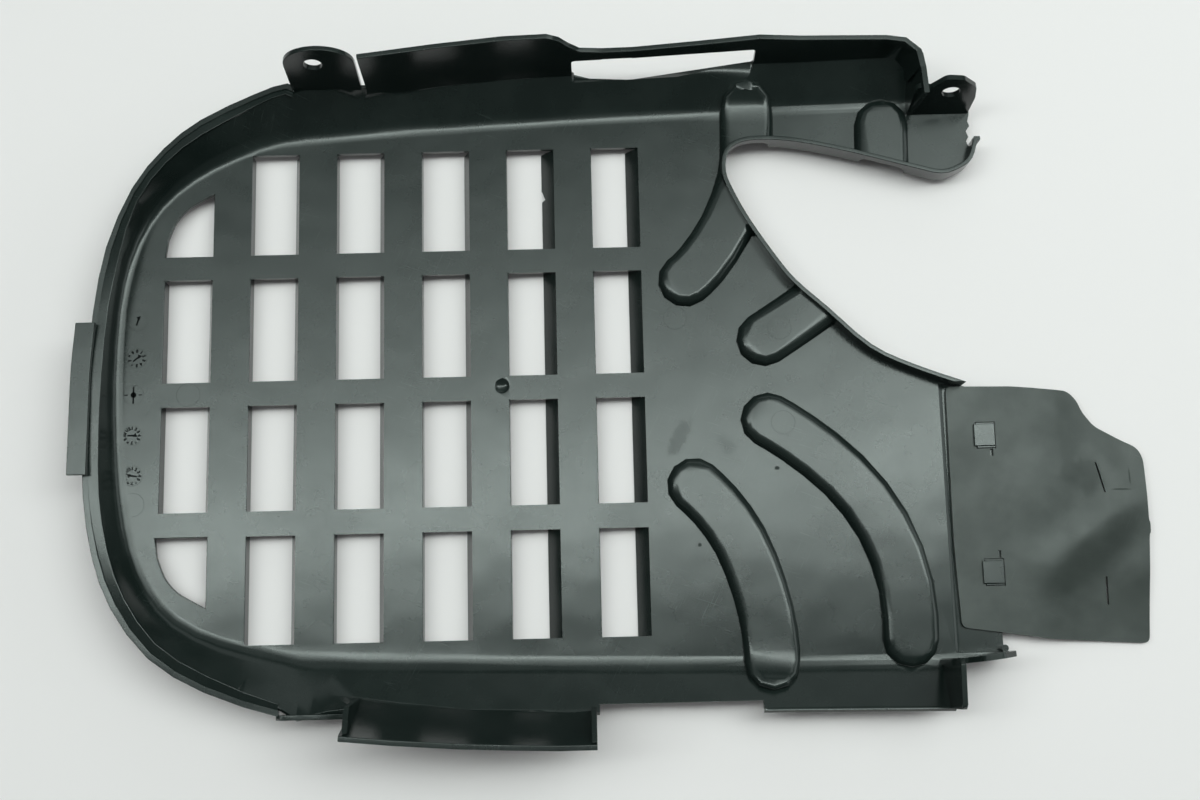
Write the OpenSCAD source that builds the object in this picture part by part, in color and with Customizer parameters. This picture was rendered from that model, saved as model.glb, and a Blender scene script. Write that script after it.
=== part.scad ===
// Under-cover of a scooter, lying with its hollow side up, and the loose flap hooked to its rear edge.
// Millimetres. +X points to the rear edge, +Y to the tall-walled side, +Z up from the table.

/* [Moulding] */
// Thickness of the floor and of the slope round it
plate_t = 2.5; // [1.8:0.1:4]
// Thickness of the upstanding walls
wall_t = 2.6; // [1.8:0.1:4]
// Height of the floor's upper face above the table
floor_top = 9; // [7:0.5:14]
// Reach of the soft bend between floor and slope
bend_reach = 5; // [2:0.5:8]
// Height of the front rim above the floor
rim_rise = 18; // [12:0.5:24]
// Height at which the side walls start above the floor
fold_rise = 12; // [8:0.5:16]

/* [Front rim] */
// Width of the flat flange round the front
flange_w = 6.5; // [3:0.5:10]
// Depth of the step along the flange
flange_step = 0.8; // [0.3:0.1:1.5]
// Width of the raised tongue outside the flange
tongue_w = 9.4; // [6:0.2:14]
// Rise of the tongue over the flange
tongue_rise = 3.3; // [1:0.1:6]

/* [Slots] */
// Number of slot columns
slot_cols = 6; // [2:1:6]
// Number of slot rows
slot_rows = 4; // [2:1:4]
// Width of a slot
slot_w = 24.2; // [15:0.1:28]
// Length of a slot
slot_l = 53; // [30:0.1:60]
// Distance from column to column
col_pitch = 43.5; // [30:0.5:50]
// Distance from row to row
row_pitch = 65.3; // [40:0.1:75]
// Thickness of a louvre fin under the slots
fin_t = 2; // [1.5:0.1:3]
// Slant of the fins of the rear two columns, over their depth
fin_slant_rear = 6.8; // [2:0.1:9]
// Slant of the fins of the other columns, over their depth
fin_slant_front = 3.4; // [0:0.1:6]
// How much larger the low side's corner slot is all round
low_corner_grow = 1.4; // [0:0.1:3]

/* [Beads] */
// Width of a raised bead
bead_w = 28; // [16:0.5:36]
// Height of a bead above the floor
bead_h = 5.5; // [3:0.1:8]
// Thickness of a bead's skin
bead_skin = 2.1; // [1.5:0.1:3]

// Radius of the dimple in the middle of the floor
dimple_r = 4; // [2:0.1:5]

/* [Arch] */
// Height of the lip round the wheel arch
lip_h = 9; // [4:0.5:14]
// Thickness of that lip
lip_t = 2.2; // [1.5:0.1:3]

/* [Ears] */
// Radius of the screw hole in an ear
ear_hole_r = 4.7; // [3:0.1:6]
// Half width of the front ear
ear_r = 17.5; // [12:0.5:24]
// Height of the front ear's crown over its hole
ear_crown = 13; // [9:0.5:20]
// Height of the front ear's hole above the floor
ear_hole_h = 41; // [30:0.5:55]
// Height of the rear ears' holes above the floor
rear_hole_h = 22; // [18:0.5:26]
// Outward lean of the tall walls and ears, in degrees
wall_lean = 9; // [0:0.5:15]
// Outward lean of the pocket wall, in degrees
pocket_lean = 20; // [10:1:35]
// Height of the pocket wall above the floor
pocket_h = 50; // [30:1:60]

/* [Flap] */
// Thickness of the flexible flap
flap_t = 1.8; // [1:0.1:3]
// Drop of the ledge that the flap lies on, below the floor
ledge_drop = 2.2; // [1:0.1:4]
// Gap round a hook in the flap's cut
hook_gap = 0.5; // [0.3:0.1:1]
// Depth of the flap's waves past the ledge
flap_wave = 1.6; // [0:0.1:5]
// Height of the crease that runs across the flap
flap_crease = 3.4; // [0:0.1:6]

/* [Hidden] */
over = 1;
bury = 0.12;
mid_y = 7.3;
centre = [6.55, 4.82];
slot_x0 = -219.2;
ledge_x = 168.5;
ledge_end = 199;
rate = fold_rise / 17.5;
dimple_ball = 1.45 * dimple_r;
// Foot of the low side's corner ear, and how far the ear turns from the long side
bracket = [162.9, -131.8];
bracket_turn = 6.5;
hooks = [[187.2, -28.4], [187.2, -96.4]];
hook_size = [8.8, 12.4];

// Foot of the slope, from the rear of the tall side round the front to the rear of the low side.
bend_line = [
  [215, 156], [107, 152.3], [-14, 148.7], [-79, 145.3], [-120, 143], [-148, 141.2], [-158, 140.3],
  [-172, 137.8], [-196, 127.5], [-214, 115.5], [-228, 99.5], [-238, 77], [-242.5, 50], [-243.5, 15],
  [-242, -15], [-238.8, -45], [-233.5, -69.5], [-224.5, -90.5], [-210, -106.5], [-187, -117.5],
  [-156, -124.4], [-140, -126], [-120, -127.2], [-66, -129], [16, -131.3], [94, -133], [215, -135.5]
];

// Outer edge of the rim at the same stations.
rim_line = [
  [215, 174.8], [107, 171.8], [-14, 167.3], [-76, 163.3], [-117, 160.2], [-146, 159.8], [-155, 164],
  [-171.5, 158.6], [-198.5, 145.5], [-216.5, 131], [-232, 110.5], [-244, 80], [-249.2, 48], [-251.8, 14],
  [-252.2, -16], [-251, -45], [-245.8, -73.5], [-236, -98.5], [-217.5, -122.5], [-190.5, -139],
  [-155, -151], [-140, -150.6], [-119, -147.6], [-66, -151], [16, -152.8], [94, -153.6], [215, -155.5]
];

// Edge of the wheel arch and of the rear arm, from the flap round to the torn tip.
arch_line = [
  [188, 1.2], [158, 12.3], [135.8, 23.5], [114.7, 43.4], [100.1, 57.1], [90.8, 69.3], [78.3, 88.9],
  [70.6, 104], [66.7, 115], [68.3, 125.5], [75.5, 130.4], [88, 131.3], [105, 129.4], [130.7, 123.5],
  [160, 115.2], [176, 111.2], [186.3, 114.2], [192.4, 119.2], [195.5, 128.5]
];

// Centre lines of the raised beads.
bead_lines = [
  [[79, 149.6], [78.6, 132], [76.4, 113], [66.5, 88], [53, 68.5], [44.5, 60.5]],
  [[83, 29], [97, 38], [118, 52]],
  [[83.5, -12], [98, -21.5], [120, -40.5], [138, -66], [147.6, -96], [148.2, -121.5]],
  [[45.8, -44], [56, -54.5], [67.5, -72], [76, -96], [80, -117], [80.3, -130.5]],
  [[148.4, 140.5], [147.8, 125], [147.5, 100]]
];

// Foot of the tall wall with the height of its top, from the rear corner along the side to the front ear.
tall_wall = [
  [161.4, 160, 29.2], [160.4, 167.6, 28.6], [156, 171.6, 28.4], [148, 172.6, 28.8], [104, 171.2, 32.4],
  [84, 170.8, 34.8], [54, 169.2, 33.2], [20, 167.6, 31.6], [5, 167.2, 31.8], [-6, 166.8, 33.4],
  [-11.5, 166.6, 38.6], [-16, 166.4, 44], [-22, 166.2, 47.2], [-44, 165.2, 47.6], [-77, 162.6, 46.6],
  [-114.8, 158.9, 45.4]
];

// The same for the short wall behind that corner, which stands on the floor.
rear_wall = [[161.9, 146, 30.4], [161.4, 160, 29.2], [160.4, 167.6, 28.6]];

// Foot of the pocket's wall on the low side.
pocket_wall = [[-120, -145.4], [-96, -147.8], [-66, -150], [-44, -151], [-22, -151.8], [-5, -151.8]];

function mix(a, b, t) = a + (b - a) * t;

function unit(v) = v / norm(v);

function left_of(v) = [-v.y, v.x];

function curve_at(a, b, c, d, t) =
  (2 * b + (c - a) * t + (2 * a - 5 * b + 4 * c - d) * t * t + (3 * b - a - 3 * c + d) * t * t * t) / 2;

// Smooth line through the given points, with n steps between neighbours.
function curve(p, n) =
  let (last = len(p) - 1)
  concat(
    [for (i = [0 : last - 1])
      each [for (k = [0 : n - 1])
        curve_at(p[max(i - 1, 0)], p[i], p[i + 1], p[min(i + 2, last)], k / n)]],
    [p[last]]
  );

function heading(p, i) = unit(p[min(i + 1, len(p) - 1)] - p[max(i - 1, 0)]);

// Corner-true offset direction of a flat path at one of its points.
function mitre(p, i) =
  let (
    a = left_of(unit(p[max(i, 1)] - p[max(i, 1) - 1])),
    b = left_of(unit(p[min(i + 1, len(p) - 1)] - p[min(i, len(p) - 2)])),
    m = unit(a + b)
  )
  m / (m * a);

// How far the surface has climbed the slope at a point of the plan.
function soft(d) = (d + sqrt(d * d + 6)) / 2;

function climb(x, y) =
  let (
    tall = lookup(x, [[-79, 145.3], [-14, 148.7], [107, 152.3], [215, 156]]),
    low = lookup(x, [[-66, -129], [16, -131.3], [94, -133], [215, -135.5]])
  )
  rate * (soft(y - tall) + soft(low - y));

// Solid through a row of closed sections that all have the same number of points.
module skin(sections) {
  n = len(sections[0]);
  m = len(sections);
  polyhedron(
    points = [for (s = sections) each s],
    faces = concat(
      [[for (j = [0 : n - 1]) j]],
      [[for (j = [n - 1 : -1 : 0]) (m - 1) * n + j]],
      [for (i = [0 : m - 2], j = [0 : n - 1])
        each let (a = i * n + j, b = i * n + (j + 1) % n, c = b + n, d = a + n) [[a, d, c], [a, c, b]]]
    ),
    convexity = 8
  );
}

bend_path = curve(bend_line, 2);
rim_path = curve(rim_line, 2);

function is_front(p) = p.x < -150;

function rim_z(p) = lookup(p.x, [[-118, rim_rise - 0.5], [-100, fold_rise + 1]]);

function fold_share(p) = lookup(p.x, [[-160, 0.5], [-116, 0.78], [-75, 0.93]]);

function fold_z(p) = lookup(p.x, [[-160, rim_rise / 2], [-116, fold_rise - 4], [-75, fold_rise]]);

function outward(i) = unit(rim_path[i] - bend_path[i]);

function rim_inner(i) =
  let (
    p = rim_path[i],
    w = lookup(p.x, [[-190, flange_w], [-156, flange_w - 2]]),
    q = p - (is_front(p) ? w : 0) * outward(i)
  )
  [q.x, q.y, rim_z(p)];

// Upper face of the slope at one station, from the floor out to the rim.
function slope_top(i) =
  let (
    b = [bend_path[i].x, bend_path[i].y, 0],
    e = [outward(i).x, outward(i).y, 0],
    t = rim_inner(i),
    s = fold_share(b),
    f = [mix(b.x, t.x, s), mix(b.y, t.y, s), fold_z(b)],
    a = b - bend_reach * e,
    c = b + bend_reach * unit(f - b)
  )
  concat([for (u = [0 : 0.25 : 1]) (1 - u) * (1 - u) * a + 2 * u * (1 - u) * b + u * u * c], [f, t]);

function plate_normal(p, k, e) =
  let (
    d = k == 0 ? [e.x, e.y, 0] : p[min(k + 1, len(p) - 1)] - p[k - 1],
    run = d.x * e.x + d.y * e.y
  )
  unit([d.z * e.x, d.z * e.y, -run]);

function slope_section(i) =
  let (p = slope_top(i), e = outward(i))
  concat(p, [for (k = [len(p) - 1 : -1 : 0]) p[k] + plate_t * plate_normal(p, k, e)]);

function flange_section(i) =
  let (p = rim_path[i], e = outward(i), q = rim_inner(i) - 1.5 * [e.x, e.y, 0], m = p - 0.45 * flange_w * e)
  [
    q, [m.x, m.y, rim_rise], [m.x, m.y, rim_rise - flange_step], [p.x, p.y, rim_rise - flange_step],
    [p.x, p.y, rim_rise - flange_step - plate_t], [q.x, q.y, rim_rise - 0.84 * plate_t]
  ];

// Floor with the slope all round it; the sections run along the slope and the floor closes between them.
module floor_and_slope() {
  sections = [for (i = [0 : len(bend_path) - 1]) slope_section(i)];
  n = len(sections[0]);
  m = len(sections);
  polyhedron(
    points = [for (s = sections) each s],
    faces = concat(
      [
        [for (j = [0 : n - 1]) j],
        [for (j = [n - 1 : -1 : 0]) (m - 1) * n + j],
        [for (i = [m - 1 : -1 : 0]) i * n],
        [for (i = [0 : m - 1]) i * n + n - 1],
        [(m - 1) * n, 0, n - 1, m * n - 1]
      ],
      [for (i = [0 : m - 2], j = [0 : n - 2])
        each let (a = i * n + j, b = a + 1, c = b + n, d = a + n) [[a, d, c], [a, c, b]]]
    ),
    convexity = 8
  );
}

module front_flange() {
  front = [for (i = [0 : len(rim_path) - 1]) if (is_front(rim_path[i])) i];
  skin([for (i = front) flange_section(i)]);
}

// Raised tongue that stands off the front rim on a narrow web.
module front_tongue() {
  edge = curve([[-246.9, 40.8], [-248.3, 20], [-248.6, 2], [-248.7, -34.5]], 3);
  web = [for (p = edge) p + [-lip_t, 0]];
  tip = [for (p = edge) p + [-tongue_w, 0]];
  top = rim_rise + tongue_rise;
  translate([0, 0, top - plate_t])
    linear_extrude(plate_t)
      polygon(concat(edge, [for (i = [len(tip) - 1 : -1 : 0]) tip[i]]));
  translate([-0.4, 0, rim_rise - plate_t + 0.6])
    linear_extrude(tongue_rise + 1)
      polygon(concat(edge, [for (i = [len(web) - 1 : -1 : 0]) web[i]]));
}

// Floor's rear strip, one shallow step lower, that carries the flap.
module rear_ledge() {
  under = -ledge_drop - plate_t;
  intersection() {
    translate([0, 4, 0])
      rotate([90, 0, 0])
        linear_extrude(132.6)
          polygon([
            [ledge_x - 4.2, -1], [ledge_end + 9, -1], [ledge_end + 9, under],
            [ledge_x - 1.4, under], [ledge_x - 5, 0.5 - plate_t]
          ]);
    translate([0, 0, -20])
      linear_extrude(40)
        polygon([
          [150, -128.4], [193.6, -128.4], [193.6, -119],
          [ledge_end, -119], [ledge_end, 2.2], [150, 3.8]
        ]);
  }
}

// Space above that strip, with the short ramp that leads down to it.
module above_ledge() {
  translate([0, 3.9, 0])
    rotate([90, 0, 0])
      linear_extrude(132.4)
        polygon([
          [ledge_x - 3.2 - 0.3, 0.2], [ledge_x, -ledge_drop], [ledge_end + 20, -ledge_drop],
          [ledge_end + 20, 4], [ledge_x - 3.5, 4]
        ]);
}

module slot_at(col, row) {
  x = slot_x0 + col * col_pitch;
  y = mid_y + (slot_rows / 2 - row - 0.5) * row_pitch - slot_l / 2;
  corner = col == 0 && (row == 0 || row == slot_rows - 1);
  if (corner) {
    translate([0, mid_y])
      mirror([0, row == 0 ? 0 : 1])
        corner_slot(row == 0 ? 0 : low_corner_grow);
  } else {
    translate([x, y])
      square([slot_w, slot_l]);
  }
}

// Quarter-round slot in each front corner of the grid.
module corner_slot(grow) {
  y = row_pitch + (row_pitch - slot_l) / 2;
  corner = [[slot_x0 + slot_w, 104.5], [-201.3, 101], [-208.4, 96.6], [-214.1, 90], [-218, 80.4]];
  round_side = curve(corner, 3);
  difference() {
    offset(delta = grow)
      polygon(concat(round_side, [[slot_x0, y], [slot_x0 + slot_w, y]]));
    translate([slot_x0 - 20, y - 20])
      square([60, 20]);
    translate([slot_x0 + slot_w, y - 20])
      square([20, 80]);
  }
}

module slots() {
  for (col = [0 : slot_cols - 1], row = [0 : slot_rows - 1]) {
    slot_at(col, row);
  }
}

// Louvre fin under one long side of a column of slots.
module fin(x, slant, side, y0, y1) {
  translate([0, y1, 0])
    rotate([90, 0, 0])
      linear_extrude(y1 - y0)
        polygon([
          [x, -0.4], [x + side * fin_t, -0.4],
          [x - slant + side * fin_t, -floor_top], [x - slant, -floor_top]
        ]);
}

module fins() {
  reach = slot_rows / 2 * row_pitch - (row_pitch - slot_l) / 2;
  inner = reach - row_pitch;
  for (col = [0 : slot_cols - 1]) {
    x = slot_x0 + col * col_pitch;
    span = col == 0 ? inner : reach;
    slant = col < slot_cols - 2 ? fin_slant_front : fin_slant_rear;
    fin(x - bury, 0, -1, mid_y - span + bury, mid_y + span - bury);
    fin(x + slot_w + bury, slant, 1, mid_y - span + bury, mid_y + span - bury);
  }
}

// Outline round a bead's centre line at half width r: one side, the far end, the other side, the near end.
function bead_ring(path, r, z, draped) =
  let (
    n = len(path) - 1,
    a = left_of(heading(path, 0)),
    b = left_of(heading(path, n)),
    flat = concat(
      [for (i = [0 : n]) path[i] + r * left_of(heading(path, i))],
      [for (k = [1 : 5]) path[n] + r * (cos(30 * k) * b - sin(30 * k) * left_of(b))],
      [for (i = [n : -1 : 0]) path[i] - r * left_of(heading(path, i))],
      [for (k = [1 : 5]) path[0] + r * (-cos(30 * k) * a + sin(30 * k) * left_of(a))]
    )
  )
  [for (p = flat) [p.x, p.y, z + (draped ? climb(p.x, p.y) : 0)]];

// Mound over a centre line; each of the steps gives an inset from the full width and a height.
module mound(path, r, steps, base) {
  foot = bead_ring(path, r, base, false);
  rings = concat([foot], [for (s = steps) bead_ring(path, r - s[0], s[1], true)]);
  n = len(path);
  k = 2 * n + 10;
  m = len(rings);
  top = (m - 1) * k;
  half = n + 2;
  polyhedron(
    points = [for (s = rings) each s],
    faces = concat(
      [[for (j = [k - 1 : -1 : 0]) j]],
      [for (i = [0 : m - 2], j = [0 : k - 1])
        each let (a = i * k + j, b = i * k + (j + 1) % k, c = b + k, d = a + k) [[a, b, c], [a, c, d]]],
      [for (j = [0 : half - 1])
        each let (a = top + j, b = a + 1, c = top + 2 * n + 3 - j, d = c + 1) [[a, b, c], [a, c, d]]],
      [for (j = [0 : 1])
        each let (
          a = top + (j == 0 ? 0 : k - j), b = top + k - j - 1,
          c = top + 2 * n + 5 + j, d = top + 2 * n + 4 + j
        ) [[a, d, c], [a, c, b]]],
      [[top + k - 4, top + k - 3, top + k - 2]]
    ),
    convexity = 6
  );
}

bead_paths = [for (p = bead_lines) curve(p, 2)];

module beads() {
  r = bead_w / 2;
  for (p = bead_paths) {
    mound(p, r, [[0.4, 1.6], [1.4, 3.6], [3, bead_h - 0.7], [5.2, bead_h]], -1);
  }
}

module bead_hollows() {
  r = bead_w / 2 - bead_skin;
  for (p = bead_paths) {
    mound(p, r, [[0.8, 1], [3, bead_h - bead_skin]], -plate_t - 6);
  }
}

module arch_area() {
  polygon(concat(curve(arch_line, 3), [[260, 128.5], [260, 1.2]]));
}

module arch_lip() {
  translate([0, 0, -plate_t])
    linear_extrude(plate_t + lip_h)
      intersection() {
        offset(delta = lip_t)
          arch_area();
        translate([50, 3.4])
          square([147, 131]);
      }
}

// Wall on a foot line whose points carry the height of the top.
// It leans and thickens to the right of the line.
module leaning_wall(foot, lean, base) {
  path = [for (p = foot) [p.x, p.y]];
  skin([for (i = [0 : len(foot) - 1])
    let (
      o = -mitre(path, i),
      top = foot[i].z,
      away = tan(lean) * (top - base),
      back = -tan(lean) * plate_t,
      at = path[i]
    )
    [
      concat(at + o * back, [base - plate_t]),
      concat(at + o * away, [top]),
      concat(at + o * (away + wall_t), [top]),
      concat(at + o * (back + wall_t), [base - plate_t])
    ]
  ]);
}

module window_cut() {
  translate([-10.5, 190, 0])
    rotate([90, 0, 0])
      linear_extrude(60)
        translate([1.6, 11.8])
          offset(r = 1.6, $fn = 16)
            square([89.8, 12]);
}

// End plate that joins the leaning pocket wall back to the slope.
module pocket_end(x, y) {
  out = y - tan(pocket_lean) * (pocket_h - fold_rise);
  translate([x, 0, 0])
    rotate([90, 0, 90])
      linear_extrude(wall_t)
        polygon([
          [y + 2, fold_rise - 2], [y - 1, pocket_h - 6],
          [out + 1, pocket_h - 0.3], [y - 2, fold_rise - 2]
        ]);
}

module pocket() {
  leaning_wall([for (p = pocket_wall) [p.x, p.y, pocket_h]], pocket_lean, fold_rise);
  pocket_end(-5 - wall_t, -151.8);
  pocket_end(-120, -145.4);
}

// Stub left where an ear has broken away from the low side.
module broken_ear() {
  jag = [
    [-156.3, 16.7], [-153.5, 19.5], [-149, 18.4], [-145, 19.8],
    [-140, 18.6], [-135, 20.4], [-130, 18.8], [-122.4, 17.8]
  ];
  translate([0, -150.2, 0])
    rotate([90, 0, 0])
      linear_extrude(wall_t)
        polygon(concat(jag, [[-122.4, rim_rise - 4.5], [-156.3, rim_rise - 4.5]]));
}

// Frame of a leaning upright: X along it, Y up it, Z towards its thickness.
module upright(y, z) {
  translate([0, y, z])
    rotate([90 - wall_lean, 0, 0])
      children();
}

module front_ear() {
  upright(160, rim_rise)
    translate([-134.7, 0, -wall_t])
      linear_extrude(wall_t)
        union() {
          translate([0, ear_hole_h - rim_rise])
            scale([1, ear_crown / ear_r])
              circle(r = ear_r, $fn = 48);
          translate([-ear_r, -3])
            square([2 * ear_r, ear_hole_h - rim_rise + 3]);
        }
}

module rear_ear_shape() {
  offset(r = 4, $fn = 32)
    offset(delta = -4)
      polygon([
        [162, -plate_t], [162, 30], [169.5, 26], [176, 34.6],
        [184.8, 33.4], [192.4, 26], [194, 16], [193.4, -plate_t]
      ]);
}

module rear_ear() {
  upright(146, 0)
    translate([0, 0, -wall_t])
      linear_extrude(wall_t)
        rear_ear_shape();
}

// Corner wall and ear at the rear of the low side.
module rear_bracket() {
  translate([bracket.x, bracket.y, 0])
    rotate([0, 0, bracket_turn])
      rotate([90, 0, 0])
        translate([-163, 0, 0])
          linear_extrude(wall_t)
            rear_ear_shape();
  translate([bracket.x, bracket.y - 22.8, 0])
    rotate([90, 0, 90])
      linear_extrude(wall_t)
        polygon([
          [0, fold_rise - 3], [0, 34], [2, 36.5], [20.5, 38],
          [23.4, 34], [23.4, -plate_t], [19.5, -plate_t]
        ]);
  translate([193.2, -127, -ledge_drop - plate_t + 0.4])
    cylinder(r = 1.7, h = plate_t + 4.6, $fn = 16);
}

module hook_posts() {
  rise = flap_t + 0.4;
  for (h = hooks) {
    translate([h.x, h.y, -ledge_drop - 1]) {
      cube([hook_size.x, hook_size.y, rise + 1]);
      translate([-1.6, 0.6, rise + 0.8])
        cube([hook_size.x + 1.6, hook_size.y - 1.2, 1.2]);
    }
  }
}

// Everything past the moulding's outline: rear of the ledge, torn tip, trimmed edge of the low side.
module trimmings() {
  translate([0, 0, -20])
    linear_extrude(90) {
      polygon([[ledge_end, -127.6], [260, -127.6], [260, 60], [ledge_end, 60]]);
      polygon([[193.6, -200], [193.6, -127.6], [260, -127.6], [260, -200]]);
      polygon([[165.5, -200], [165.5, -132.6], [170, -132.1], [260, -122], [260, -200]]);
      polygon([
        [193, 128.4], [192, 131], [193.4, 133.6], [192.2, 136.6], [194.2, 139.4], [193.4, 142],
        [194.4, 146], [194, 190], [260, 190], [260, 128.4]
      ]);
      polygon([[163, 147.6], [163, 190], [260, 190], [260, 147.6]]);
    }
  translate([-3.6, -170, fold_rise - 9])
    cube([78, 21, 30]);
  translate([-3.6, -170, fold_rise + 0.6])
    cube([166, 22, 60]);
}

// Round dimple opposite the point where the plastic was let into the mould.
module gate_dimple() {
  translate([-48.9, 8.3, sqrt(dimple_ball * dimple_ball - dimple_r * dimple_r)])
    sphere(r = dimple_ball, $fn = 36);
}

module nick() {
  translate([-28.5, 106, -floor_top - over])
    rotate([0, 0, 20])
      cube([3, 5, 6]);
}

// Floor and slope, trimmed to the outline and with the rear ledge.
module tray() {
  difference() {
    union() {
      difference() {
        floor_and_slope();
        trimmings();
        translate([ledge_end - 6, -128.4, -20])
          cube([60, 134, 40]);
      }
      rear_ledge();
    }
    above_ledge();
  }
}

module under_cover_moulding() {
  difference() {
    union() {
      difference() {
        union() {
          tray();
          beads();
          arch_lip();
        }
        bead_hollows();
        translate([0, 0, -20])
          linear_extrude(60)
            arch_area();
        translate([0, 0, -20])
          linear_extrude(40)
            slots();
      }
      fins();
      front_flange();
      front_tongue();
      front_ear();
      leaning_wall(tall_wall, wall_lean, fold_rise);
      leaning_wall(rear_wall, wall_lean * 0.66, 0);
      rear_ear();
      pocket();
      broken_ear();
      rear_bracket();
      hook_posts();
    }
    window_cut();
    gate_dimple();
    nick();
  }
}

module ear_bores() {
  upright(160, rim_rise)
    translate([-137.6, ear_hole_h - rim_rise, -wall_t - over])
      cylinder(r = ear_hole_r, h = wall_t + 2 * over, $fn = 64);
  upright(146, 0)
    translate([180.4, rear_hole_h, -wall_t - over])
      cylinder(r = ear_hole_r, h = wall_t + 2 * over, $fn = 64);
  translate([bracket.x, bracket.y, 0])
    rotate([0, 0, bracket_turn])
      rotate([90, 0, 0])
        translate([17.4, rear_hole_h, -over])
          cylinder(r = ear_hole_r, h = wall_t + 2 * over, $fn = 64);
}

module under_cover() {
  color([0.05, 0.055, 0.06])
    translate([-centre.x, -centre.y, floor_top])
      difference() {
        resize([0, 0, 0])
          under_cover_moulding();
        ear_bores();
      }
}

// Outline of the flap, corners rounded where they are in the sheet.
module flap_shape() {
  difference() {
    offset(r = 2.5, $fn = 24)
      offset(delta = -2.5)
        polygon([
          [173.2, 2.8], [205, 2.2], [234.8, -0.2], [239.4, -5], [241.6, -11], [247, -18.4], [259, -25.2],
          [268, -29.6], [270.6, -35], [270.6, -66], [271.2, -67], [271.2, -72], [270.4, -73],
          [266.8, -126.2], [217, -123], [193, -119.4], [173.8, -116.6], [172.4, -76]
        ]);
    for (h = hooks) {
      translate([h.x - hook_gap, h.y - hook_gap])
        square([hook_size.x + 2 * hook_gap, hook_size.y + 2 * hook_gap]);
    }
    translate([193.4, -32])
      square([1.5, 4]);
    translate([193.8, -84.2])
      square([1.5, 4]);
    translate([245.4, -37])
      rotate(-77)
        square([15.5, 0.9]);
    translate([247.2, -107])
      square([0.9, 13.6]);
  }
}

// Swelling of the flap round a point: reach along and across a direction given in degrees.
function swell(x, y, at, along, across, turn) =
  let (
    d = [x - at.x, y - at.y],
    p = (d.x * cos(turn) + d.y * sin(turn)) / along,
    q = (d.y * cos(turn) - d.x * sin(turn)) / across
  )
  exp(-p * p - q * q);

// Height of the flap's underside: flat on the ledge, then drooping, rippled and creased.
function flap_z(x, y) =
  let (
    past = max(0, x - ledge_end - 3),
    droop = -(floor_top - ledge_drop) * (1 - exp(-past * past / 900)),
    fade = min(1, past / 26),
    ripple = flap_wave * (1 + sin(2.4 * (y + 60) + 1.4 * (x - 200)) * 0.9),
    crease = flap_crease * swell(x, y, [243, -71], 30, 9, 38),
    bump = 0.7 * flap_crease * swell(x, y, [250, -41], 15, 9, 100)
  )
  -ledge_drop + droop + fade * (ripple + crease + bump);

module rubber_flap() {
  xs = concat([170], [for (k = [0 : 17]) ledge_end + 2 + k * 4.4]);
  ys = [for (k = [0 : 25]) 6.3 - k * 5.4];
  color([0.09, 0.095, 0.1])
    translate([-centre.x, -centre.y, floor_top])
      resize([0, 0, 0])
        intersection() {
          skin([for (x = xs)
            concat(
              [for (y = ys) [x, y, flap_z(x, y) + flap_t]],
              [for (k = [len(ys) - 1 : -1 : 0]) [x, ys[k], flap_z(x, ys[k])]]
            )
          ]);
          translate([0, 0, -20])
            linear_extrude(60)
              flap_shape();
        }
}

under_cover();
rubber_flap();
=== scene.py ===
"""Dressed model of a scooter's under-cover, lying hollow side up, with its loose rear flap.

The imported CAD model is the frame. The moulding is a finer copy of its solid with softened
edges, the flap is a smoother sheet in its solid's place, and the small marks that the mould
leaves in the plastic are pieces of their own. Places in plan are millimetres in the drawing's
own axes; everything that is built is in metres.
"""

import logging
import math
from collections.abc import Sequence
from dataclasses import dataclass, field
from enum import Enum

import bmesh
import bpy
from mathutils import Matrix, Vector, geometry

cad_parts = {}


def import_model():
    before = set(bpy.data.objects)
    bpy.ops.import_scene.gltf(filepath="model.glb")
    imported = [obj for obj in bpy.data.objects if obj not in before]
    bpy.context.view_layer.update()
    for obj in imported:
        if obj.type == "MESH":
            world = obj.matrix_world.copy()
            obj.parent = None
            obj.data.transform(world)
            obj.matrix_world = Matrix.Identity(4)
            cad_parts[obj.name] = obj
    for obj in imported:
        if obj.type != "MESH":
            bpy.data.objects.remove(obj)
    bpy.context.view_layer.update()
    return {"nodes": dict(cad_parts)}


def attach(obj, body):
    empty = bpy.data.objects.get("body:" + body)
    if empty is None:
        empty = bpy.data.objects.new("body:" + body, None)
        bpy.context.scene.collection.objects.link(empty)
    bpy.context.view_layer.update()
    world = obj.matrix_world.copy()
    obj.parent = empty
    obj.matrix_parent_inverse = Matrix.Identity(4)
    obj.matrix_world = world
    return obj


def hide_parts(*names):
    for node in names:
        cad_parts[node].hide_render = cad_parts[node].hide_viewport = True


LOG = logging.getLogger("under_cover")
MM = 0.001
DRAWING_CENTRE = (6.55, 4.82)
FLOOR_TOP = 9.0
ROOT = "root"
CORNER_STEPS = 4
STRIP_TINT = (0.87, 1.0, 0.95)
ROOM_TINT = (0.88, 1.0, 0.97)


class Slot(Enum):
    """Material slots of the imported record."""

    MOULDING = "moulding"
    FLAP = "flap"


class DialKind(Enum):
    """What stands on a mould dial's face."""

    YEAR = "year"
    MONTH = "month"
    PLAIN = "plain"
    CROSS = "cross"


def place(x: float, y: float, z: float = 0.0) -> Vector:
    """Turn a place of the drawing into a point of the model.

    Args:
        x: Millimetres towards the rear edge.
        y: Millimetres towards the tall-walled side.
        z: Millimetres above the floor plate's upper face.

    Returns:
        The point in metres.
    """
    along, across = x - DRAWING_CENTRE[0], y - DRAWING_CENTRE[1]
    return Vector((along * MM, across * MM, (z + FLOOR_TOP) * MM))


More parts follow.
